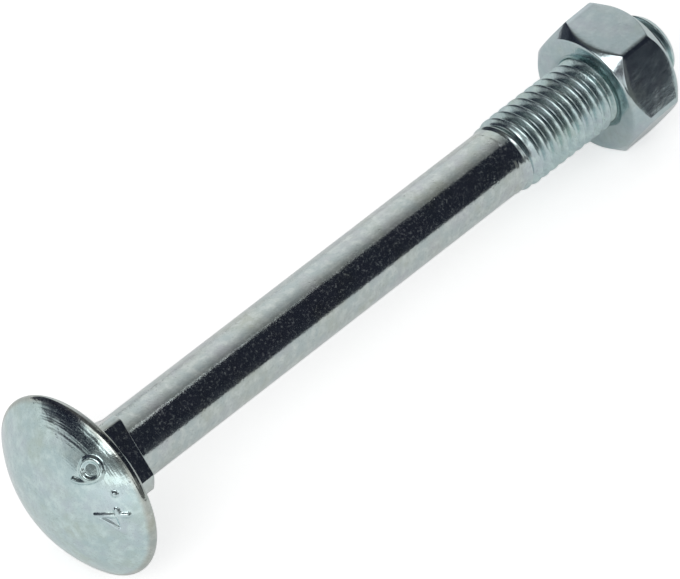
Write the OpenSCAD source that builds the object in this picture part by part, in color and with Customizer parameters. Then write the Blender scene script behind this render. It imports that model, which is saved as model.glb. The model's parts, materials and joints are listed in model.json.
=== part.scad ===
// Carriage bolt with a hexagon nut on its thread. It lies as it comes to rest on a flat
// surface: on the edge of its head and on one flat of the nut. Sizes are in millimetres.
// X runs along the bolt from head to tip, Z is up, and the surface is at Z = 0.

/* [Bolt] */
// Length from the underside of the head to the tip
bolt_len = 80; // [60:1:120]
// Diameter of the plain shank
shank_d = 7; // [6.4:0.1:7.8]
// Length of the threaded end, with its run-out
thread_len = 22; // [18:1:26]
// Diameter over the crests of the thread
thread_d = 7.9; // [7.8:0.1:9.6]
// Distance from one thread crest to the next
thread_pitch = 1.25; // [1:0.05:1.5]
// Diameter of the flat end of the tip
tip_d = 6.5; // [5.4:0.1:7]
// Length of the bevel around the tip
tip_bevel = 1.1; // [0.4:0.1:1.6]

/* [Head] */
// Diameter of the round head
head_d = 19.5; // [16:0.1:24]
// Height of the head, from its underside to its crown
head_h = 4.5; // [3.8:0.1:5.6]
// Thickness of the rounded rim of the head
rim_h = 1; // [0.8:0.1:1.4]

/* [Square neck] */
// Width of the neck across its flats
neck_w = 7.8; // [7.4:0.1:9.6]
// Diameter over the rounded corners of the neck
neck_corner_d = 9.8; // [8.4:0.1:12]
// Length of the neck below the head
neck_len = 4.8; // [3.6:0.1:6.4]
// Bevel on the neck's corners, at their far end
neck_bevel = 0.2; // [0.1:0.05:0.6]
// Turn of the neck's flats about the bolt, from upright
neck_turn = 43; // [0:1:90]
// How far the neck was forged to one side of the bolt's axis
neck_shift = 0.25; // [0:0.05:0.4]
// Angle at which the neck's far end was forged out of square
neck_skew = 3.5; // [0:0.5:6]

/* [Nut] */
// Width of the nut across its flats
nut_w = 13; // [12.5:0.1:16]
// Height of the nut along the bolt
nut_h = 6.5; // [5.4:0.1:8]
// How far inside the nut's flats the bevels begin
nut_face_inset = 0.2; // [0.1:0.05:0.6]
// Angle of the bevel around both faces
nut_bevel_angle = 50; // [30:1:55]
// Width of the countersinks beyond the bore, on the diameter
nut_sink = 0.9; // [0.4:0.1:1.2]
// Least gap between the thread and the nut's bore, on the radius
thread_play = 0.05; // [0.02:0.01:0.1]
// Length of the bolt that stands out past the nut
thread_out = 3; // [0:0.5:6]

/* [Hidden] */
$fn = 96;
merge = 1; // overlap that joins the bolt's forms inside the metal
bevel_over = 0.2; // how far the nut's bevels run on past its corners
sink_angle = 30; // slope of the countersinks, from the nut's faces

shank_r = shank_d / 2;
thread_r = thread_d / 2;
tip_r = tip_d / 2;

// Along the bolt, from the underside of the head
thread_start = bolt_len - thread_len;
full_thread_start = thread_start + thread_pitch;
nut_near = bolt_len - thread_out - nut_h;
nut_middle = nut_near + nut_h / 2;

// The crown is an arc that runs into the round of the rim
rim_r = rim_h / 2;
rim_x = head_d / 2 - rim_r;
crown_drop = head_h - rim_r;
crown_r = (rim_x * rim_x + crown_drop * crown_drop - rim_r * rim_r) / (2 * (crown_drop - rim_r));
crown_centre = crown_r - head_h;
rim_run = [rim_x, -rim_r - crown_centre] / (crown_r - rim_r);
crown_edge = [0, crown_centre] + rim_run * (crown_r + merge);

// The axis falls from the head to the nut, because the head is the wider of the two
nut_height = nut_w / 2;
rest_reach = norm([rim_x, nut_middle + rim_r]);
slope = acos((nut_height - rim_r) / rest_reach) - atan2(nut_middle + rim_r, rim_x);
underside_z = nut_height + nut_middle * sin(slope);

// The middle of the whole length is at X = 0
crown_x = crown_centre * cos(slope) - crown_r;
tip_x = bolt_len * cos(slope) + tip_r * sin(slope);
underside_x = -(crown_x + tip_x) / 2;

// The nut lies flat, so the sloping thread crosses its bore at an angle
nut_corner_r = nut_height / cos(30);
nut_face_r = nut_height - nut_face_inset;
nut_bevel_run = nut_corner_r + bevel_over - nut_face_r;
nut_bevel_fall = nut_bevel_run * tan(nut_bevel_angle);
nut_bore_r = thread_r / cos(slope) + nut_h / 2 * tan(slope) + thread_play;
nut_sink_r = nut_bore_r + nut_sink / 2;
nut_sink_depth = nut_sink / 2 * tan(sink_angle);

// Half of the head's section, with the crown downwards
module head_section() {
    translate([rim_x, -rim_r]) circle(rim_r);
    translate([0, -rim_r]) square([rim_x, rim_r]);
    intersection() {
        translate([0, crown_centre]) circle(crown_r);
        polygon([
            [0, -rim_r],
            [rim_x, -rim_r],
            crown_edge,
            [crown_edge[0], -head_h - merge],
            [0, -head_h - merge]
        ]);
    }
}

// Half of the section of shank, run-out, thread and tip
module shank_section() {
    polygon([
        [0, -merge],
        [shank_r, -merge],
        [shank_r, thread_start],
        [thread_r, full_thread_start],
        [thread_r, bolt_len - tip_bevel],
        [tip_r, bolt_len],
        [0, bolt_len]
    ]);
}

// Square neck, its corners rounded by the round bar that it was forged from
module neck() {
    neck_corner_r = neck_corner_d / 2;
    neck_end_r = neck_corner_r - neck_bevel;
    neck_reach = rim_r + neck_len + neck_w;
    rotate(neck_turn) intersection() {
        translate([-neck_w / 2, -neck_w / 2 - neck_shift, -rim_r])
            cube([neck_w, neck_w, neck_reach]);
        translate([0, 0, -rim_r]) cylinder(r = neck_corner_r, h = neck_reach);
        translate([0, 0, neck_len]) rotate([neck_skew, 0, 0]) rotate_extrude() polygon([
            [0, 0],
            [neck_end_r, 0],
            [neck_end_r + neck_reach, -neck_reach],
            [0, -neck_reach]
        ]);
    }
}

module bolt() {
    color("silver") translate([underside_x, 0, underside_z]) rotate([0, 90 + slope, 0]) {
        rotate_extrude() intersection() {
            head_section();
            translate([0, -head_h]) square([head_d, head_h]);
        }
        rotate_extrude() shank_section();
        neck();
    }
}

// Half of the nut's section: a bevel around both faces, and a bore countersunk at both ends
module nut_section() {
    outer_r = nut_corner_r + bevel_over;
    polygon([
        [nut_bore_r, -nut_h / 2 + nut_sink_depth],
        [nut_sink_r, -nut_h / 2],
        [nut_face_r, -nut_h / 2],
        [outer_r, -nut_h / 2 + nut_bevel_fall],
        [outer_r, nut_h / 2 - nut_bevel_fall],
        [nut_face_r, nut_h / 2],
        [nut_sink_r, nut_h / 2],
        [nut_bore_r, nut_h / 2 - nut_sink_depth]
    ]);
}

module nut() {
    nut_x = underside_x + nut_middle * cos(slope);
    color("silver") translate([nut_x, 0, nut_height]) rotate([0, 90, 0]) intersection() {
        rotate(30) cylinder(r = nut_corner_r, h = nut_h, center = true, $fn = 6);
        rotate_extrude() nut_section();
    }
}

bolt();
nut();
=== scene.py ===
import json
import math

import bpy
import numpy as np
from mathutils import Matrix, Vector


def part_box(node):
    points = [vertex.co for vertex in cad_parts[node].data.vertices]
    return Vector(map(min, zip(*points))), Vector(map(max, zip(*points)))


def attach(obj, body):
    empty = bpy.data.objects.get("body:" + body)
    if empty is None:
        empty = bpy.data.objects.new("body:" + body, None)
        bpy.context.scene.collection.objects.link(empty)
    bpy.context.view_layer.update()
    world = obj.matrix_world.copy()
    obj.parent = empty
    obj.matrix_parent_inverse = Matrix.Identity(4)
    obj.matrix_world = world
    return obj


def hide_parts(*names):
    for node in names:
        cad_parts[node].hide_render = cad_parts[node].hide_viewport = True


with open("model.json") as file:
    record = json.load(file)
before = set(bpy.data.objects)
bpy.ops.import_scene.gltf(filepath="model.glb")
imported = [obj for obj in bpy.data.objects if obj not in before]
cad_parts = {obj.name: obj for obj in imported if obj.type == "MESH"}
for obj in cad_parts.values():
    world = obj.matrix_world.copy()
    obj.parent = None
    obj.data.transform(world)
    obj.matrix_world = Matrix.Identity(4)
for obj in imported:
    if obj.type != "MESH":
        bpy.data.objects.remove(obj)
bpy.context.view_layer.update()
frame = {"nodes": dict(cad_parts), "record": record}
mm = 0.001

# the bolt's own axis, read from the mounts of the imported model
mounts = {m["name"]: m for m in frame["record"]["mounts"]}
tipPoint = np.array(mounts["thread"]["pos_m"], float)
along = np.array(mounts["thread"]["axis"], float)
along /= np.linalg.norm(along)
seatPoint = np.array(mounts["head_seat"]["pos_m"], float)
boltLength = float((tipPoint - seatPoint) @ along)
rootPoint = tipPoint - boltLength * along  # where the axis meets the underside of the head
sideways = np.array([0.0, -1.0, 0.0])
upwards = np.cross(sideways, along)
print(f"frame loaded, bolt length {boltLength / mm:.2f} mm under the head")


def aroundBolt(z, radius, angles):
    # points at height z under the head and the given radius, angle 0 on top
    return (
        rootPoint
        + np.multiply.outer(z * np.ones_like(angles), along)
        + np.multiply.outer(radius * np.cos(angles), upwards)
        + np.multiply.outer(radius * np.sin(angles), sideways)
    )


def softClamp(t, soft):
    # 0 to 1 with rounded ends
    return 0.5 * (np.sqrt(t * t + soft * soft) - np.sqrt((t - 1) ** 2 + soft * soft) + 1)


def smoothRise(t):
    t = np.clip(t, 0, 1)
    return t * t * (3 - 2 * t)


def quarterTurn(count, start=0):
    # angles of a rounded edge, in count steps up to a right angle
    return np.radians(np.linspace(start, 90, count))


def ringMesh(name, rings, loop=False):
    # skins a list of rings: equal counts with quads, 2 to 1 with triangles, 1 point with a fan
    points = np.concatenate([np.reshape(r, (-1, 3)) for r in rings])
    counts = [np.size(r) // 3 for r in rings]
    starts = np.concatenate([[0], np.cumsum(counts)[:-1]])
    faces = []
    pairs = list(zip(range(len(rings) - 1), range(1, len(rings))))
    if loop:
        pairs.append((len(rings) - 1, 0))
    for a, b in pairs:
        na, nb = counts[a], counts[b]
        sa, sb = int(starts[a]), int(starts[b])
        if na == nb:
            after = [(i + 1) % na for i in range(na)]
            faces += [(sa + i, sa + after[i], sb + after[i], sb + i) for i in range(na)]
        elif na == 1:
            faces += [(sa, sb + (i + 1) % nb, sb + i) for i in range(nb)]
        elif nb == 1:
            faces += [(sa + i, sa + (i + 1) % na, sb) for i in range(na)]
        else:
            for i in range(nb):
                a0, a1, a2 = sa + 2 * i, sa + 2 * i + 1, sa + (2 * i + 2) % na
                b0, b1 = sb + i, sb + (i + 1) % nb
                faces += [(a0, a1, b0), (a1, b1, b0), (a1, a2, b1)]
    mesh = bpy.data.meshes.new(name)
    mesh.from_pydata(points.tolist(), [], faces)
    mesh.update()
    mesh.shade_smooth()
    piece = bpy.data.objects.new(name, mesh)
    bpy.context.scene.collection.objects.link(piece)
    if meshVolume(mesh) < 0:
        mesh.flip_normals()
    return piece


def meshVolume(mesh):
    mesh.calc_loop_triangles()
    co = np.array([v.co for v in mesh.vertices], float)
    tri = np.array([t.vertices for t in mesh.loop_triangles])
    a, b, c = co[tri[:, 0]], co[tri[:, 1]], co[tri[:, 2]]
    return float((a * np.cross(b, c)).sum() / 6)


# the thread, shared by the bolt and the nut
thread = {
    "radius": mounts["thread"]["dims"]["r_mm"] * mm,
    "pitch": 1.25 * mm,
    "depth": 0.74 * mm,  # from the crests to the roots, on the radius
    "length": mounts["thread"]["dims"]["length_mm"] * mm,
    "runOut": 1.8 * mm,  # the grooves sink to their full depth over this way
    "earlyCrest": 1.5 * mm,  # the crests start to rise this far before the grooves sink
    "firstCrest": 59.235 * mm,  # where a crest crosses the angle below
    "crestAngle": math.radians(-55.3),
    "crestFlat": 0.03,  # half the width of a crest, in pitches
    "flank": 0.37,  # width of a flank, in pitches
    "rounding": 0.15,  # of the crests and roots, as a share of the flank
    "stepsPerPitch": 18,
}
shankRadius = mounts["shank"]["dims"]["r_mm"] * mm
threadStart = boltLength - thread["length"]


def threadRadius(z, angles):
    # right-hand helix: a crest moves one pitch towards the tip for each turn
    turned = (angles - thread["crestAngle"]) / (2 * math.pi)
    turns = (z - thread["firstCrest"]) / thread["pitch"] - turned
    fromCrest = np.abs(turns - np.round(turns))
    depth = softClamp((fromCrest - thread["crestFlat"]) / thread["flank"], thread["rounding"])
    full = thread["radius"] - thread["depth"] * depth - shankRadius
    early = thread["earlyCrest"]
    crests = smoothRise((z - threadStart + early) / (thread["runOut"] + early))
    grooves = smoothRise((z - threadStart) / thread["runOut"])
    return shankRadius + np.maximum(full, 0) * crests + np.minimum(full, 0) * grooves


bolt = {
    "rimThickness": 1.0 * mm,
    "neckWidth": 7.8 * mm,
    "neckShift": 0.25 * mm,  # forged a little to one side of the axis
    "neckCornerRadius": 4.9 * mm,  # the round bar that it was forged from
    "neckLength": mounts["square_neck"]["dims"]["length_mm"] * mm,
    "neckTurn": math.radians(43),
    "neckSkew": math.radians(3.5),  # its far end is forged out of square
    "neckRound": 0.18 * mm,
    "neckRoundShare": 0.5,  # but at most this share of the step down to the shank
    "neckRings": (0.35, 0.65),  # along the neck
    "fillet": 0.3 * mm,  # between the head and the neck
    "filletSteps": 6,
    "stepRound": 0.1 * mm,  # where the neck drops to the shank
    "stepRoundShare": 0.4,
    "edgeSteps": 5,  # around each of these two edges
    "shankFrom": 0.7 * mm,  # the shank's first ring, past the neck
    "shankRings": 24,
    "tipRadius": 3.25 * mm,
    "tipBevel": 1.1 * mm,
    "tipRound": 0.12 * mm,
    "tipRoundFrom": 20,  # degrees, where the tip's round leaves the bevel
    "tipSteps": 4,
    "tipRings": (0.9, 0.6, 0.3),  # across the flat end
    "fineFrom": math.radians(10),  # the figures get closer angles than the rest
    "fineTo": math.radians(98),
    "fineCount": 148,
    "coarseCount": 148,
    "domeRings": 100,
    "rimRings": 16,
    "undersideEdge": 0.5 * mm,  # the finer mesh of the head ends this far inside the rim
}

# strength figures raised on the crown, drawn as strokes in a box one unit high
figures = {
    "height": 2.8 * mm,
    "strokeRadius": 0.34 * mm,
    "sideShare": 0.75,  # how much of the stroke's radius its rounded side takes
    "relief": 0.22 * mm,
    "ringRadius": 6.8 * mm,  # the figures stand on a circle around the crown
    "places": [
        # strokes, angle around the crown, shift towards the rim
        ("four", math.radians(75), 0.0),
        ("dot", math.radians(55), 1.05 * mm),
        ("six", math.radians(32), 0.0),
    ],
}


def arcStroke(centre, radius, start, end, count):
    turns = np.radians(np.linspace(start, end, count))
    return [(centre[0] + radius * math.cos(t), centre[1] + radius * math.sin(t)) for t in turns]


strokes = {
    "four": [[(0.13, -0.5), (0.22, 0.5), (-0.48, -0.3), (0.34, -0.22)]],
    "dot": [[(-0.01, 0.0), (0.01, 0.0)]],
    "six": [
        arcStroke((0.0, -0.17), 0.33, 0, 360, 24),
        arcStroke((0.4, -0.17), 0.73, 105, 180, 10),
    ],
}


def strokeDistance(u, v, path):
    # distance to a bent line of straight pieces
    best = np.full(np.shape(u), np.inf)
    for (x0, y0), (x1, y1) in zip(path[:-1], path[1:]):
        dx, dy = x1 - x0, y1 - y0
        t = np.clip(((u - x0) * dx + (v - y0) * dy) / (dx * dx + dy * dy), 0, 1)
        best = np.minimum(best, np.hypot(u - x0 - t * dx, v - y0 - t * dy))
    return best


def figureRelief(radius, angles):
    # height of the raised figures over the crown, with soft sides
    size = figures["height"]
    height = np.zeros_like(angles)
    for name, angle, shift in figures["places"]:
        v = (figures["ringRadius"] + shift - radius) / size  # tops towards the crown
        v = v * np.ones_like(angles)
        u = -(angles - angle) * figures["ringRadius"] / size
        for path in strokes[name]:
            away = strokeDistance(u, v, path) * size / figures["strokeRadius"]
            rise = smoothRise((1 - away) / figures["sideShare"])
            height = np.maximum(height, figures["relief"] * rise)
    return height


def neckFlats():
    # which way each of the four flats faces, and how far it lies from the axis
    for side, shift in enumerate((0, 1, 0, -1)):
        turn = bolt["neckTurn"] + side * math.pi / 2
        yield turn, bolt["neckWidth"] / 2 + shift * bolt["neckShift"]


def squareNeck(angles):
    # the nearest of the four flats and the round corners
    reach = np.full(np.shape(angles), bolt["neckCornerRadius"])
    for turn, flat in neckFlats():
        facing = np.maximum(np.cos(angles - turn), 0.1)  # a flat that faces away is out of reach
        reach = np.minimum(reach, flat / facing)
    return reach


def neckCorners():
    # the angles at which the flats run into the round corners
    corners = []
    for turn, flat in neckFlats():
        spread = math.acos(flat / bolt["neckCornerRadius"])
        corners += [turn - spread, turn + spread]
    return corners


def makeBolt():
    # the head's height and radius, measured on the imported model
    cad = frame["nodes"]["bolt"]
    points = np.array([v.co for v in cad.data.vertices], float) - rootPoint
    heights = points @ along
    radii = np.linalg.norm(points - np.outer(heights, along), axis=1)
    headHeight, headRadius = -heights.min(), radii.max()

    fine = np.linspace(bolt["fineFrom"], bolt["fineTo"], bolt["fineCount"], endpoint=False)
    fullTurn = bolt["fineFrom"] + 2 * math.pi
    coarse = np.linspace(bolt["fineTo"], fullTurn, bolt["coarseCount"], endpoint=False)
    wide = np.concatenate([fine, coarse])  # the head's angles, and every other one below it
    for corner in neckCorners():  # an edge of the mesh runs along each corner of the neck
        turned = (corner - bolt["fineFrom"]) % (2 * math.pi) + bolt["fineFrom"]
        wide[2 * np.argmin(np.abs(wide[::2] - turned))] = turned
    wide = np.where(wide > math.pi, wide - 2 * math.pi, wide)
    slim = wide[::2]

    # the crown is an arc that runs into the round of the rim
    rim = bolt["rimThickness"] / 2
    rimX = headRadius - rim
    drop = headHeight - rim
    crown = (rimX**2 + drop**2 - rim**2) / (2 * (drop - rim))
    crownCentre = crown - headHeight
    lastAngle = math.asin(rimX / (crown - rim))

    rings = [aroundBolt(-headHeight, 0, np.zeros(1))]
    for a in np.linspace(0, lastAngle, bolt["domeRings"])[1:]:
        reach = crown + figureRelief(crown * math.sin(a), wide)
        rings.append(aroundBolt(crownCentre - reach * math.cos(a), reach * math.sin(a), wide))
    for a in np.linspace(lastAngle, math.pi, bolt["rimRings"])[1:]:
        rings.append(aroundBolt(-rim - rim * math.cos(a), rimX + rim * math.sin(a), wide))

    # underside, fillet, neck, step and shank
    neck = squareNeck(slim)
    fillet = bolt["fillet"]
    rings.append(aroundBolt(0, rimX - bolt["undersideEdge"], slim))
    rings.append(aroundBolt(0, neck + 2 * fillet, slim))
    for a in quarterTurn(bolt["filletSteps"]):
        z, r = fillet * (1 - math.cos(a)), neck + fillet * (1 - math.sin(a))
        rings.append(aroundBolt(z, r, slim))
    end, step = bolt["neckLength"], neck - shankRadius
    rounding = np.minimum(bolt["neckRound"], bolt["neckRoundShare"] * step)
    stepRound = np.minimum(bolt["stepRound"], bolt["stepRoundShare"] * step)
    leaning = math.tan(bolt["neckSkew"]) * np.cos(slim - bolt["neckTurn"] + math.pi / 2)
    for share in bolt["neckRings"]:
        rings.append(aroundBolt(end * share + neck * leaning * share, neck, slim))
    for a in quarterTurn(bolt["edgeSteps"]):
        r = neck - rounding * (1 - math.cos(a))
        rings.append(aroundBolt(end - rounding * (1 - math.sin(a)) + r * leaning, r, slim))
    for a in quarterTurn(bolt["edgeSteps"]):
        z, r = end + stepRound * (1 - math.cos(a)), shankRadius + stepRound * (1 - math.sin(a))
        rings.append(aroundBolt(z + r * leaning, r, slim))
    crestStart = threadStart - thread["earlyCrest"]
    for z in np.linspace(end + bolt["shankFrom"], crestStart, bolt["shankRings"]):
        rings.append(aroundBolt(z, shankRadius, slim))

    # thread, bevelled at the tip
    turnStep = thread["pitch"] / thread["stepsPerPitch"]
    bevelSlope = (thread["radius"] - bolt["tipRadius"]) / bolt["tipBevel"]
    for z in np.arange(crestStart + turnStep, boltLength - bolt["tipRound"], turnStep):
        cone = bolt["tipRadius"] + (boltLength - z) * bevelSlope
        rings.append(aroundBolt(z, np.minimum(threadRadius(z, slim), cone), slim))
    for a in quarterTurn(bolt["tipSteps"], bolt["tipRoundFrom"]):
        r = bolt["tipRadius"] - bolt["tipRound"] * (1 - math.cos(a))
        rings.append(aroundBolt(boltLength - bolt["tipRound"] * (1 - math.sin(a)), r, slim))
    for share in bolt["tipRings"]:
        rings.append(aroundBolt(boltLength, bolt["tipRadius"] * share, slim))
    rings.append(aroundBolt(boltLength, 0, np.zeros(1)))
    return ringMesh("carriageBolt", rings)


nut = {
    "faceInset": 0.28 * mm,  # the bevels begin this far inside the flats
    "bevelAngle": math.radians(50),
    "cornerRound": 0.24 * mm,
    "crown": 0.05 * mm,  # the middle of each flat stands out this far
    "edgeRound": 0.12 * mm,  # from the bevel into the corners
    "flatRound": 0.8 * mm,  # and into the middle of the flats
    "edgeSteps": 8,
    "faceRound": 0.2 * mm,
    "faceFade": 0.3 * mm,  # the bevel fades into the face over this way
    "faceSteps": 10,
    "bevelShare": 0.45,  # each rounding takes at most this share of the bevel
    "sinkRadius": 4.5 * mm,
    "sinkRound": 0.2 * mm,
    "sinkAngle": math.radians(18),
    "sinkSteps": 5,
    # from this far inside the crests, and over this way, the bore changes from the bolt's axis
    # to the nut's own
    "sinkBlend": (0.1 * mm, 0.5 * mm),
    "threadGap": 0.07 * mm,
    "flatSteps": 17,
    "flatSpacing": 0.8,  # below 1 the steps lie closer towards the corners
    "cornerSteps": 7,
    "bodyRings": 5,
    "bodyMargin": 0.18 * mm,  # from the lowest bevel to the first of them
    "threadRings": 90,
}


def roundedHexagon(across, rounding):
    # outline with flats at the top and the bottom, as angles and radii
    half = across / 2
    corner = half / math.cos(math.pi / 6)
    xs, ys = [], []
    for side in range(6):
        turn = side * math.pi / 3
        reach = half * math.tan(math.pi / 6) - rounding * math.tan(math.pi / 6)
        flat = np.linspace(-reach, reach, nut["flatSteps"])
        flat = reach * np.sign(flat) * np.abs(flat / reach) ** nut["flatSpacing"]
        out = half - nut["crown"] * (flat / reach) ** 2
        px = list(out * math.cos(turn) - flat * math.sin(turn))
        py = list(out * math.sin(turn) + flat * math.cos(turn))
        centre = corner - (rounding + nut["crown"]) / math.cos(math.pi / 6)
        cornerTurn = turn + math.pi / 6
        for a in np.linspace(-math.pi / 6, math.pi / 6, nut["cornerSteps"] + 2)[1:-1]:
            px.append(centre * math.cos(cornerTurn) + rounding * math.cos(cornerTurn + a))
            py.append(centre * math.sin(cornerTurn) + rounding * math.sin(cornerTurn + a))
        xs += px
        ys += py
    xs, ys = np.array(xs), np.array(ys)
    return np.arctan2(ys, xs), np.hypot(xs, ys)


def makeNut():
    low, high = (np.array(c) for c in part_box("nut"))
    across, thick = high[2] - low[2], high[0] - low[0]
    middle = (low + high) / 2
    angles, outline = roundedHexagon(across, nut["cornerRound"])
    face = across / 2 - nut["faceInset"]

    def ring(x, radius):
        flatAxis = np.multiply.outer(x * np.ones_like(angles), np.array([1.0, 0, 0]))
        return (
            middle
            + flatAxis
            + np.multiply.outer(radius * np.cos(angles), np.array([0, 0, 1.0]))
            + np.multiply.outer(radius * np.sin(angles), sideways)
        )

    def roundedCrease(before, at, after, count):
        # a curve from before to after that rounds off the crease between them
        rows = []
        for t in np.linspace(0, 1, count):
            shares = ((1 - t) ** 2, 2 * t * (1 - t), t**2)
            r = sum(k * point[0] for k, point in zip(shares, (before, at, after)))
            x = sum(k * point[1] for k, point in zip(shares, (before, at, after)))
            rows.append((r, x))
        return rows

    # for each angle: face, bevel, side, with each crease rounded over a short way
    half = thick / 2
    fall = (outline - face) * math.tan(nut["bevelAngle"])
    run = np.hypot(outline - face, fall)
    outward, inward = (outline - face) / run, -fall / run  # one step down the bevel
    faceReach = np.minimum(nut["faceRound"], nut["bevelShare"] * run)
    faceInner = face - nut["faceFade"]
    edgeReach = np.minimum(nut["edgeRound"], nut["bevelShare"] * run)
    cornerShare = (outline - across / 2) / (outline.max() - across / 2)
    sideReach = nut["flatRound"] + (nut["edgeRound"] - nut["flatRound"]) * cornerShare
    faceCrease = roundedCrease(
        (faceInner, half),
        (face, half),
        (face + outward * faceReach, half + inward * faceReach),
        nut["faceSteps"],
    )
    edgeCrease = roundedCrease(
        (outline - outward * edgeReach, half - fall - inward * edgeReach),
        (outline, half - fall),
        (outline, half - fall - sideReach),
        nut["edgeSteps"],
    )
    sinkRound = nut["sinkRound"]
    inner = nut["sinkRadius"] + sinkRound
    sinkEnd = half - sinkRound * math.sin(nut["sinkAngle"])
    sinkCrease = roundedCrease(
        (nut["sinkRadius"] - sinkRound * math.cos(nut["sinkAngle"]), sinkEnd),
        (nut["sinkRadius"], half),
        (inner, half),
        nut["sinkSteps"],
    )
    outside = sinkCrease[1:] + [((inner + faceInner) / 2, half)] + faceCrease + edgeCrease
    far = [ring(x, r) for r, x in outside]
    near = [ring(-x, r) for r, x in reversed(outside)]
    straight = half - fall.max() - nut["bodyMargin"]
    body = [ring(x, outline) for x in np.linspace(straight, -straight, nut["bodyRings"])]

    # inside: the bolt's own thread with a small gap, opened out at both ends
    inside = []
    for x in np.linspace(-sinkEnd, sinkEnd, nut["threadRings"]):
        sink = nut["sinkRadius"] - (half - abs(x)) / math.tan(nut["sinkAngle"])
        centre = middle + np.array([x, 0, 0])
        z = float((centre - rootPoint) @ along)
        onAxis = rootPoint + along * z
        outwards = np.outer(np.cos(angles), [0, 0, 1.0]) + np.outer(np.sin(angles), sideways)
        r = threadRadius(z, angles) + nut["threadGap"]
        for _ in range(2):  # the thread leans a little against the nut's flat faces
            point = onAxis + r[:, None] * outwards
            r = threadRadius((point - rootPoint) @ along, angles) + nut["threadGap"]
        r = np.maximum(r, sink)
        early, blendRun = nut["sinkBlend"]
        share = smoothRise((sink - thread["radius"] + early) / blendRun)
        start = onAxis * (1 - share) + centre * share
        start[0] = centre[0]
        inside.append(start + r[:, None] * outwards)
    return ringMesh("hexagonNut", far + body + near + inside, loop=True)


def addNode(tree, kind, **values):
    node = tree.nodes.new(kind)
    for key, value in values.items():
        if key in node.inputs:
            node.inputs[key].default_value = value
        else:
            setattr(node, key, value)
    return node


def sizedTexture(group, place, size, kind, **values):
    # a texture whose features are about as large as the group's input says
    scale = addNode(group, "ShaderNodeMath", operation="DIVIDE")
    scale.inputs[0].default_value = 1
    texture = addNode(group, kind, **values)
    group.links.new(size, scale.inputs[1])
    group.links.new(place, texture.inputs["Vector"])
    group.links.new(scale.outputs[0], texture.inputs["Scale"])
    return texture


def ramp(group, value, low, high):
    # 0 at low and 1 at high
    node = group.nodes.new("ShaderNodeMapRange")
    node.inputs["From Min"].default_value = low
    node.inputs["From Max"].default_value = high
    group.links.new(value, node.inputs["Value"])
    return node.outputs["Result"]


def combine(group, operation, a, b):
    node = addNode(group, "ShaderNodeMath", operation=operation)
    group.links.new(a, node.inputs[0])
    group.links.new(b, node.inputs[1])
    return node.outputs[0]


plate = {
    # noise at which each tone begins, and at which it is full
    "Straw": (0.45, 0.68),
    "Violet": (0.48, 0.68),
    "Pale": (0.45, 0.72),
    "violetShift": (0.31, 0.17, 0.05),  # metres, so that violet and straw clouds lie apart
    # the same for the marks: the pits by distance, the others by noise
    "pits": (0.26, 0.08),
    "clusters": (0.56, 0.7),
    "specks": (0.54, 0.74),
}


def plateToneGroup():
    # zinc plate: a cool grey with faint straw and violet clouds, and a finer mottling over them
    group = bpy.data.node_groups.new("plateTone", "ShaderNodeTree")
    for name in ("Base", "Straw", "Violet", "Pale"):
        group.interface.new_socket(name, in_out="INPUT", socket_type="NodeSocketColor")
    for name in ("Cloud Size", "Mottle Size"):
        group.interface.new_socket(name, in_out="INPUT", socket_type="NodeSocketFloat")
    group.interface.new_socket("Color", in_out="OUTPUT", socket_type="NodeSocketColor")
    inputs, outputs = group.nodes.new("NodeGroupInput"), group.nodes.new("NodeGroupOutput")
    place = group.nodes.new("ShaderNodeTexCoord").outputs["Object"]
    shift = addNode(group, "ShaderNodeVectorMath", operation="ADD")
    shift.inputs[1].default_value = plate["violetShift"]
    group.links.new(place, shift.inputs[0])
    color = inputs.outputs["Base"]
    for name, source, size in (
        ("Straw", place, "Cloud Size"),
        ("Violet", shift.outputs[0], "Cloud Size"),
        ("Pale", shift.outputs[0], "Mottle Size"),
    ):
        noise = sizedTexture(
            group, source, inputs.outputs[size], "ShaderNodeTexNoise", Detail=3.0, Roughness=0.6
        )
        mix = addNode(group, "ShaderNodeMix", data_type="RGBA")
        group.links.new(ramp(group, noise.outputs["Fac"], *plate[name]), mix.inputs[0])
        group.links.new(color, mix.inputs[6])
        group.links.new(inputs.outputs[name], mix.inputs[7])
        color = mix.outputs[2]
    group.links.new(color, outputs.inputs["Color"])
    return group


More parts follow.
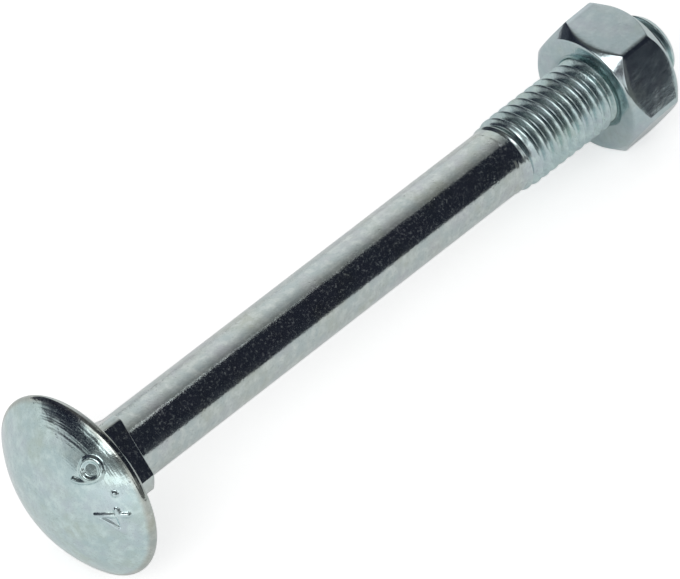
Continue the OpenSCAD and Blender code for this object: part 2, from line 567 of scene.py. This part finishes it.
def handlingMarksGroup():
    # height of grain, soft dents and pits, a mask of the pits, and a haze of fine specks
    group = bpy.data.node_groups.new("handlingMarks", "ShaderNodeTree")
    for name in ("Grain Size", "Grain", "Dent Size", "Dents", "Pit Size", "Pits", "Speck Size"):
        group.interface.new_socket(name, in_out="INPUT", socket_type="NodeSocketFloat")
    for name in ("Height", "Pitting", "Specks"):
        group.interface.new_socket(name, in_out="OUTPUT", socket_type="NodeSocketFloat")
    inputs, outputs = group.nodes.new("NodeGroupInput"), group.nodes.new("NodeGroupOutput")
    place = group.nodes.new("ShaderNodeTexCoord").outputs["Object"]
    given = inputs.outputs
    noise = "ShaderNodeTexNoise"
    grain = sizedTexture(group, place, given["Grain Size"], noise, Detail=3.0, Roughness=0.6)
    dents = sizedTexture(group, place, given["Dent Size"], noise, Detail=1.5, Roughness=0.45)
    specks = sizedTexture(group, place, given["Speck Size"], noise, Detail=2.0, Roughness=0.7)
    pits = sizedTexture(group, place, given["Pit Size"], "ShaderNodeTexVoronoi", Randomness=1.0)
    clusters = sizedTexture(group, place, given["Dent Size"], noise, Detail=0.0)
    pitted = combine(
        group, "MULTIPLY",
        ramp(group, pits.outputs["Distance"], *plate["pits"]),
        ramp(group, clusters.outputs["Fac"], *plate["clusters"]),
    )
    rough = combine(group, "MULTIPLY", grain.outputs["Fac"], given["Grain"])
    soft = combine(group, "MULTIPLY", dents.outputs["Fac"], given["Dents"])
    deep = combine(group, "MULTIPLY", pitted, given["Pits"])
    raised = combine(group, "ADD", rough, soft)
    height = combine(group, "SUBTRACT", raised, deep)
    group.links.new(height, outputs.inputs["Height"])
    group.links.new(pitted, outputs.inputs["Pitting"])
    haze = ramp(group, specks.outputs["Fac"], *plate["specks"])
    group.links.new(haze, outputs.inputs["Specks"])
    return group


def endMasks(tree, ends):
    # 1 over the head, and 1 over the thread, each with a soft edge
    place = tree.nodes.new("ShaderNodeTexCoord").outputs["Object"]
    split = tree.nodes.new("ShaderNodeSeparateXYZ")
    tree.links.new(place, split.inputs["Vector"])
    return [ramp(tree, split.outputs["X"], *ends[name]) for name in ("head", "thread")]


def rimShadedEdgeAndRings(tree, rim, headEnd):
    # a mask of the head's rim edge, where shade is painted, and the height of fine rings around the
    # crown
    place = tree.nodes.new("ShaderNodeTexCoord").outputs["Object"]
    offset = addNode(tree, "ShaderNodeVectorMath", operation="MULTIPLY_ADD")
    offset.inputs[1].default_value = (0, 1, 1)
    offset.inputs[2].default_value = (0, 0, -rim["axisHeight"])
    reach = addNode(tree, "ShaderNodeVectorMath", operation="LENGTH")
    tree.links.new(place, offset.inputs[0])
    tree.links.new(offset.outputs[0], reach.inputs[0])
    away = reach.outputs["Value"]
    rings = addNode(tree, "ShaderNodeTexNoise", noise_dimensions="1D", Detail=1.0)
    rings.inputs["Scale"].default_value = 1 / rim["ringSize"]
    tree.links.new(away, rings.inputs["W"])
    deep = addNode(tree, "ShaderNodeMath", operation="MULTIPLY")
    deep.inputs[1].default_value = rim["ringHeight"]
    tree.links.new(rings.outputs["Fac"], deep.inputs[0])
    outer = combine(tree, "MULTIPLY", ramp(tree, away, *rim["rings"]), headEnd)
    edge = combine(tree, "MULTIPLY", ramp(tree, away, *rim["edge"]), headEnd)
    return edge, combine(tree, "MULTIPLY", deep.outputs[0], outer)


def tinted(tree, color, mask, tint):
    # the colour times the tint where the mask is 1
    mix = addNode(tree, "ShaderNodeMix", data_type="RGBA", blend_type="MULTIPLY")
    mix.inputs[7].default_value = (*tint, 1)
    tree.links.new(mask, mix.inputs[0])
    tree.links.new(color, mix.inputs[6])
    return mix.outputs[2]


def zincMaterial(name, look, toneGroup, marksGroup):
    material = bpy.data.materials.new(name)
    material.use_nodes = True
    tree = material.node_tree
    tree.nodes.clear()
    link = tree.links.new
    shader = tree.nodes.new("ShaderNodeBsdfPrincipled")
    output = tree.nodes.new("ShaderNodeOutputMaterial")
    tone = addNode(tree, "ShaderNodeGroup", node_tree=toneGroup)
    for key, color in look["tones"].items():
        tone.inputs[key].default_value = (*color, 1)
    for key, value in look["toneSizes"].items():
        tone.inputs[key].default_value = value
    marks = addNode(tree, "ShaderNodeGroup", node_tree=marksGroup)
    for key, value in look["marks"].items():
        marks.inputs[key].default_value = value
    rough = tree.nodes.new("ShaderNodeMapRange")
    rough.inputs["To Min"].default_value = look["roughness"][0]
    rough.inputs["To Max"].default_value = look["roughness"][1]
    metal = tree.nodes.new("ShaderNodeMapRange")
    metal.inputs["To Min"].default_value = 1.0
    metal.inputs["To Max"].default_value = look["speckMetal"]
    bump = addNode(tree, "ShaderNodeBump", Strength=1.0, Distance=look["depth"])
    headEnd, threadEnd = endMasks(tree, look["ends"])
    worn = addNode(tree, "ShaderNodeMath", operation="MULTIPLY_ADD")
    worn.inputs[1].default_value = look["ends"]["threadRoughness"]
    link(marks.outputs["Pitting"], rough.inputs["Value"])
    link(threadEnd, worn.inputs[0])
    link(rough.outputs["Result"], worn.inputs[2])
    link(worn.outputs[0], shader.inputs["Roughness"])
    link(marks.outputs["Specks"], metal.inputs["Value"])
    link(metal.outputs["Result"], shader.inputs["Metallic"])
    # the plate is thicker, and so a cooler blue, on the head and on the thread
    bothEnds = combine(tree, "MAXIMUM", headEnd, threadEnd)
    color = tinted(tree, tone.outputs["Color"], bothEnds, look["ends"]["tint"])
    height = marks.outputs["Height"]
    if "rim" in look:
        edge, rings = rimShadedEdgeAndRings(tree, look["rim"], headEnd)
        # painted shade: the rim's outer edge is darkened, over a warmer tone
        color = tinted(tree, color, edge, look["rim"]["tint"])
        height = combine(tree, "ADD", height, rings)
    link(color, shader.inputs["Base Color"])
    link(height, bump.inputs["Height"])
    link(bump.outputs["Normal"], shader.inputs["Normal"])
    link(shader.outputs["BSDF"], output.inputs["Surface"])
    return material


boltZinc = {
    "tones": {
        "Base": (0.50, 0.575, 0.575),
        "Straw": (0.52, 0.567, 0.52),
        "Violet": (0.54, 0.575, 0.595),
        "Pale": (0.65, 0.71, 0.69),
    },
    "toneSizes": {"Cloud Size": 4 * mm, "Mottle Size": 0.9 * mm},
    "ends": {
        # from none to all of the tint, along the bolt
        "head": (-36.5 * mm, -38.5 * mm),
        "thread": (19 * mm, 22 * mm),
        "tint": (1.03, 1.14, 1.16),
        "threadRoughness": 0.12,
    },
    "rim": {
        # a warmer edge, darkened as painted shade for the shaded floor that it mirrors, and fine
        # rings left by the forming die
        "axisHeight": 9.85 * mm,
        "edge": (9.2 * mm, 9.55 * mm),
        # painted shade: this darkens and warms the rim's outer edge
        "tint": (0.83, 0.73, 0.69),
        "rings": (4.5 * mm, 7.5 * mm),
        "ringSize": 0.3 * mm,
        "ringHeight": 0.55,
    },
    "roughness": (0.13, 0.32),  # of the plain plate, and in the pits
    "speckMetal": 0.8,  # the specks scatter a little light, the plain plate none
    "depth": 0.02 * mm,
    "marks": {
        "Grain Size": 0.25 * mm, "Grain": 0.4,
        "Dent Size": 2.0 * mm, "Dents": 1.3,
        "Pit Size": 0.5 * mm, "Pits": 0.35,
        "Speck Size": 0.3 * mm,
    },
}
nutZinc = {
    "tones": {
        "Base": (0.48, 0.585, 0.605),
        "Straw": (0.505, 0.592, 0.572),
        "Violet": (0.525, 0.585, 0.625),
        "Pale": (0.56, 0.652, 0.665),
    },
    "toneSizes": {"Cloud Size": 3.5 * mm, "Mottle Size": 0.8 * mm},
    "ends": {
        "head": (34 * mm, 32 * mm),
        "thread": (38 * mm, 40 * mm),
        "tint": (0.98, 1.0, 1.0),
        "threadRoughness": 0.02,
    },
    "roughness": (0.15, 0.3),
    "speckMetal": 0.93,
    "depth": 0.015 * mm,
    "marks": {
        "Grain Size": 0.35 * mm, "Grain": 0.5,
        "Dent Size": 2.4 * mm, "Dents": 3.0,
        "Pit Size": 0.45 * mm, "Pits": 0.2,
        "Speck Size": 0.3 * mm,
    },
}

toneGroup, marksGroup = plateToneGroup(), handlingMarksGroup()
for make, node, body, slot, name, look in (
    (makeBolt, "bolt", "bolt", "zinc_bolt", "boltZinc", boltZinc),
    (makeNut, "nut", "nut", "zinc_nut", "nutZinc", nutZinc),
):
    piece = make()
    piece.data.materials.append(zincMaterial(name, look, toneGroup, marksGroup))
    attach(piece, body)
    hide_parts(node)
    faceCount, volume = len(piece.data.polygons), meshVolume(piece.data) / mm**3
    print(f"{piece.name}: {faceCount} faces, volume {volume:.0f} mm3")


studio = {
    "floorSize": 6.0,
    "floorColour": (0.8, 0.8, 0.8),
    "floorLift": 0.55,  # how much the floor glows to the camera, so that it reads as white
    "floorShine": 0.18,  # and in the metal
    "roomOnFloor": 0.6,  # how strongly the room lights the floor
    "lampPlace": Vector((-0.72, -0.28, 0.72)),
    "lampSize": (0.42, 0.42),
    "lampPower": 1.6,
    "stripPlace": Vector((0.66, -0.03, 1.2)),
    "stripSize": (0.12, 0.045),
    "stripPower": 0.037,
    "poolPlace": Vector((-0.145, -0.035, 0.045)),  # a low lamp that brightens the floor by the head
    "poolSize": (0.13, 0.05),
    "poolPower": 0.018,
    "wallLevel": 0.89,
    "shadeColour": (0.8, 0.95, 1.7),  # the dark sheets in the room are a deep blue
    "shadeLevel": 0.1,  # and what is brighter than this is plain
    # the room that the metal mirrors: soft shapes over the pale walls, each over the one before
    # round: azimuth, elevation, inner angle, outer angle, level
    # panel: azimuth, half width, lowest, highest, soft edge, level
    "room": [
        ("round", -90, 0, 88, 140, 0.21),  # the ceiling grows dim towards the near side
        ("round", -90, -1, 88.5, 90, 0.02),  # a dark curtain on the near side
        ("panel", -95, 29, 0, 20, 8, 0.165),  # a gap under the curtain
        ("round", 104, 62, 22, 40, 0.1),  # a dim patch high on the far side
        ("panel", 112, 48, 30, 46, 5, 0.045),
        ("panel", 142, 28, 10.5, 14, 3, 0.63),  # a pale shelf below it
        ("panel", 113, 22, 9, 20, 5, 0.075),
        ("panel", 121, 56, 15, 31, 3, 0.022),  # a dark sheet across the far side
        ("panel", 88, 26, 3, 20, 3, 0.06),
        ("round", -140, 48, 8, 20, 0.5),  # two gaps beside the curtain
        ("round", -120, 32, 6, 15, 0.4),
        ("round", -169, 39, 9, 15, 3.2),  # a tall window by the head, in three parts
        ("round", 168, 35, 5, 12, 1.4),
        ("round", -175, 28, 5, 9, 2.1),
        ("panel", -170, 14, 11, 16, 3, 0.26),  # its shaded sill,
        ("panel", -162, 14, 0, 6.5, 3, 1.55),  # and a bright strip below that
        ("round", -147, 17, 5, 12, 0.9),  # pale wall between the window and the curtain
        ("round", -125, 22, 6, 14, 0.97),
    ],
}


def choose(tree, factor, a, b):
    # a where the factor is 0 and b where it is 1
    mix = tree.nodes.new("ShaderNodeMix")
    for value, socket in ((factor, mix.inputs[0]), (a, mix.inputs[2]), (b, mix.inputs[3])):
        if isinstance(value, float):
            socket.default_value = value
        else:
            tree.links.new(value, socket)
    return mix.outputs[0]


def makeFloor():
    half = studio["floorSize"] / 2
    corners = [(-half, -half, 0), (half, -half, 0), (half, half, 0), (-half, half, 0)]
    mesh = bpy.data.meshes.new("floor")
    mesh.from_pydata(corners, [], [(0, 1, 2, 3)])
    floor = bpy.data.objects.new("floor", mesh)
    bpy.context.scene.collection.objects.link(floor)
    material = bpy.data.materials.new("paleFloor")
    material.use_nodes = True
    tree = material.node_tree
    tree.nodes.clear()
    path = tree.nodes.new("ShaderNodeLightPath").outputs
    mirrored = combine(tree, "MAXIMUM", path["Is Glossy Ray"], path["Is Transmission Ray"])
    lift = choose(tree, mirrored, 0.0, studio["floorShine"])
    lift = choose(tree, path["Is Camera Ray"], lift, studio["floorLift"])
    diffuse = addNode(tree, "ShaderNodeBsdfDiffuse", Color=(*studio["floorColour"], 1))
    glow = tree.nodes.new("ShaderNodeEmission")
    both = tree.nodes.new("ShaderNodeAddShader")
    output = tree.nodes.new("ShaderNodeOutputMaterial")
    tree.links.new(lift, glow.inputs["Strength"])
    tree.links.new(diffuse.outputs[0], both.inputs[0])
    tree.links.new(glow.outputs[0], both.inputs[1])
    tree.links.new(both.outputs[0], output.inputs["Surface"])
    mesh.materials.append(material)


def compassPoint(azimuth, elevation=0.0):
    az, el = math.radians(azimuth), math.radians(elevation)
    return (math.cos(el) * math.cos(az), math.cos(el) * math.sin(az), math.sin(el))


def facing(tree, way, azimuth, elevation=0.0):
    # cosine of the angle between a way and a point of the compass
    node = addNode(tree, "ShaderNodeVectorMath", operation="DOT_PRODUCT")
    node.inputs[1].default_value = compassPoint(azimuth, elevation)
    tree.links.new(way, node.inputs[0])
    return node.outputs["Value"]


def smoothRamp(tree, value, low, high):
    result = ramp(tree, value, low, high)
    result.node.interpolation_type = "SMOOTHSTEP"
    return result


def roundMask(tree, way, azimuth, elevation, inner, outer):
    near, far = math.cos(math.radians(inner)), math.cos(math.radians(outer))
    return smoothRamp(tree, facing(tree, way, azimuth, elevation), far, near)


def panelMask(tree, way, azimuth, halfWidth, lowest, highest, soft):
    # an upright sheet with soft edges
    across = combine(
        tree, "ARCTAN2", facing(tree, way, azimuth + 90), facing(tree, way, azimuth)
    )
    aside = addNode(tree, "ShaderNodeMath", operation="ABSOLUTE")
    tree.links.new(across, aside.inputs[0])
    height = facing(tree, way, 0, 90)
    angles = [math.radians(a) for a in (halfWidth + soft, halfWidth)]
    mask = smoothRamp(tree, aside.outputs[0], *angles)
    for edge, step in ((lowest, -soft), (highest, soft)):
        ends = [math.sin(math.radians(a)) for a in (edge + step, edge)]
        mask = combine(tree, "MULTIPLY", mask, smoothRamp(tree, height, *ends))
    return mask


def makeRoom():
    # the metal mirrors the painted room, the rest of the scene is lit by an even one
    world = bpy.data.worlds.new("studio")
    bpy.context.scene.world = world
    world.use_nodes = True
    tree = world.node_tree
    background = tree.nodes["Background"]
    way = tree.nodes.new("ShaderNodeTexCoord").outputs["Generated"]
    level = float(studio["wallLevel"])
    for shape, *numbers, value in studio["room"]:
        mask = {"round": roundMask, "panel": panelMask}[shape](tree, way, *numbers)
        level = choose(tree, mask, level, float(value))
    path = tree.nodes.new("ShaderNodeLightPath").outputs
    mirrored = combine(tree, "MAXIMUM", path["Is Glossy Ray"], path["Is Transmission Ray"])
    level = choose(tree, mirrored, studio["roomOnFloor"], level)
    level = choose(tree, path["Is Camera Ray"], level, 1.0)
    shade = addNode(tree, "ShaderNodeMix", data_type="RGBA")
    shade.inputs[6].default_value = (*studio["shadeColour"], 1)
    shade.inputs[7].default_value = (1, 1, 1, 1)
    tree.links.new(ramp(tree, level, 0, studio["shadeLevel"]), shade.inputs[0])
    tree.links.new(shade.outputs[2], background.inputs["Color"])
    tree.links.new(level, background.inputs["Strength"])


def makeLamp(name, place, size, power, mirrored=True, aim=Vector((0, 0, 0))):
    light = bpy.data.lights.new(name, "AREA")
    light.shape = "RECTANGLE"
    light.size, light.size_y = size
    light.energy = power
    lamp = bpy.data.objects.new(name, light)
    lamp.location = place
    lamp.rotation_euler = (aim - place).to_track_quat("-Z", "Y").to_euler()
    lamp.visible_camera = False
    lamp.visible_glossy = mirrored
    bpy.context.scene.collection.objects.link(lamp)


cameraView = {
    "azimuth": math.radians(-44.777),
    "elevation": math.radians(45.715),
    "roll": math.radians(-3.990),
    "distance": 708.4 * mm,
    "aimRight": -2.189 * mm,
    "aimUp": 3.687 * mm,
    "lens": 392.69,
    "sensorWidth": 36,  # millimetres, as the lens
    "nearest": 10 * mm,
}


def makeCamera():
    az, el, roll = (cameraView[k] for k in ("azimuth", "elevation", "roll"))
    back = Vector((math.sin(az) * math.cos(el), -math.cos(az) * math.cos(el), math.sin(el)))
    level = Vector((math.cos(az), math.sin(az), 0))
    upright = back.cross(level)
    right = level * math.cos(roll) + upright * math.sin(roll)
    up = upright * math.cos(roll) - level * math.sin(roll)
    aim = right * cameraView["aimRight"] + up * cameraView["aimUp"]
    turn = Matrix((right, up, back)).transposed().to_4x4()
    data = bpy.data.cameras.new("camera")
    data.lens = cameraView["lens"]
    data.sensor_width = cameraView["sensorWidth"]
    data.sensor_fit = "HORIZONTAL"
    data.clip_start = cameraView["nearest"]
    camera = bpy.data.objects.new("camera", data)
    camera.matrix_world = Matrix.Translation(aim + back * cameraView["distance"]) @ turn
    bpy.context.scene.collection.objects.link(camera)
    bpy.context.scene.camera = camera


makeFloor()
makeRoom()
makeLamp("softbox", studio["lampPlace"], studio["lampSize"], studio["lampPower"], mirrored=False)
makeLamp("stripLamp", studio["stripPlace"], studio["stripSize"], studio["stripPower"])
poolAim = studio["poolPlace"] * Vector((1, 1, 0))  # straight down
makeLamp(
    "poolLamp", studio["poolPlace"], studio["poolSize"], studio["poolPower"],
    mirrored=False, aim=poolAim,
)
makeCamera()
bpy.context.scene.view_settings.view_transform = "Standard"
print("studio and camera set")
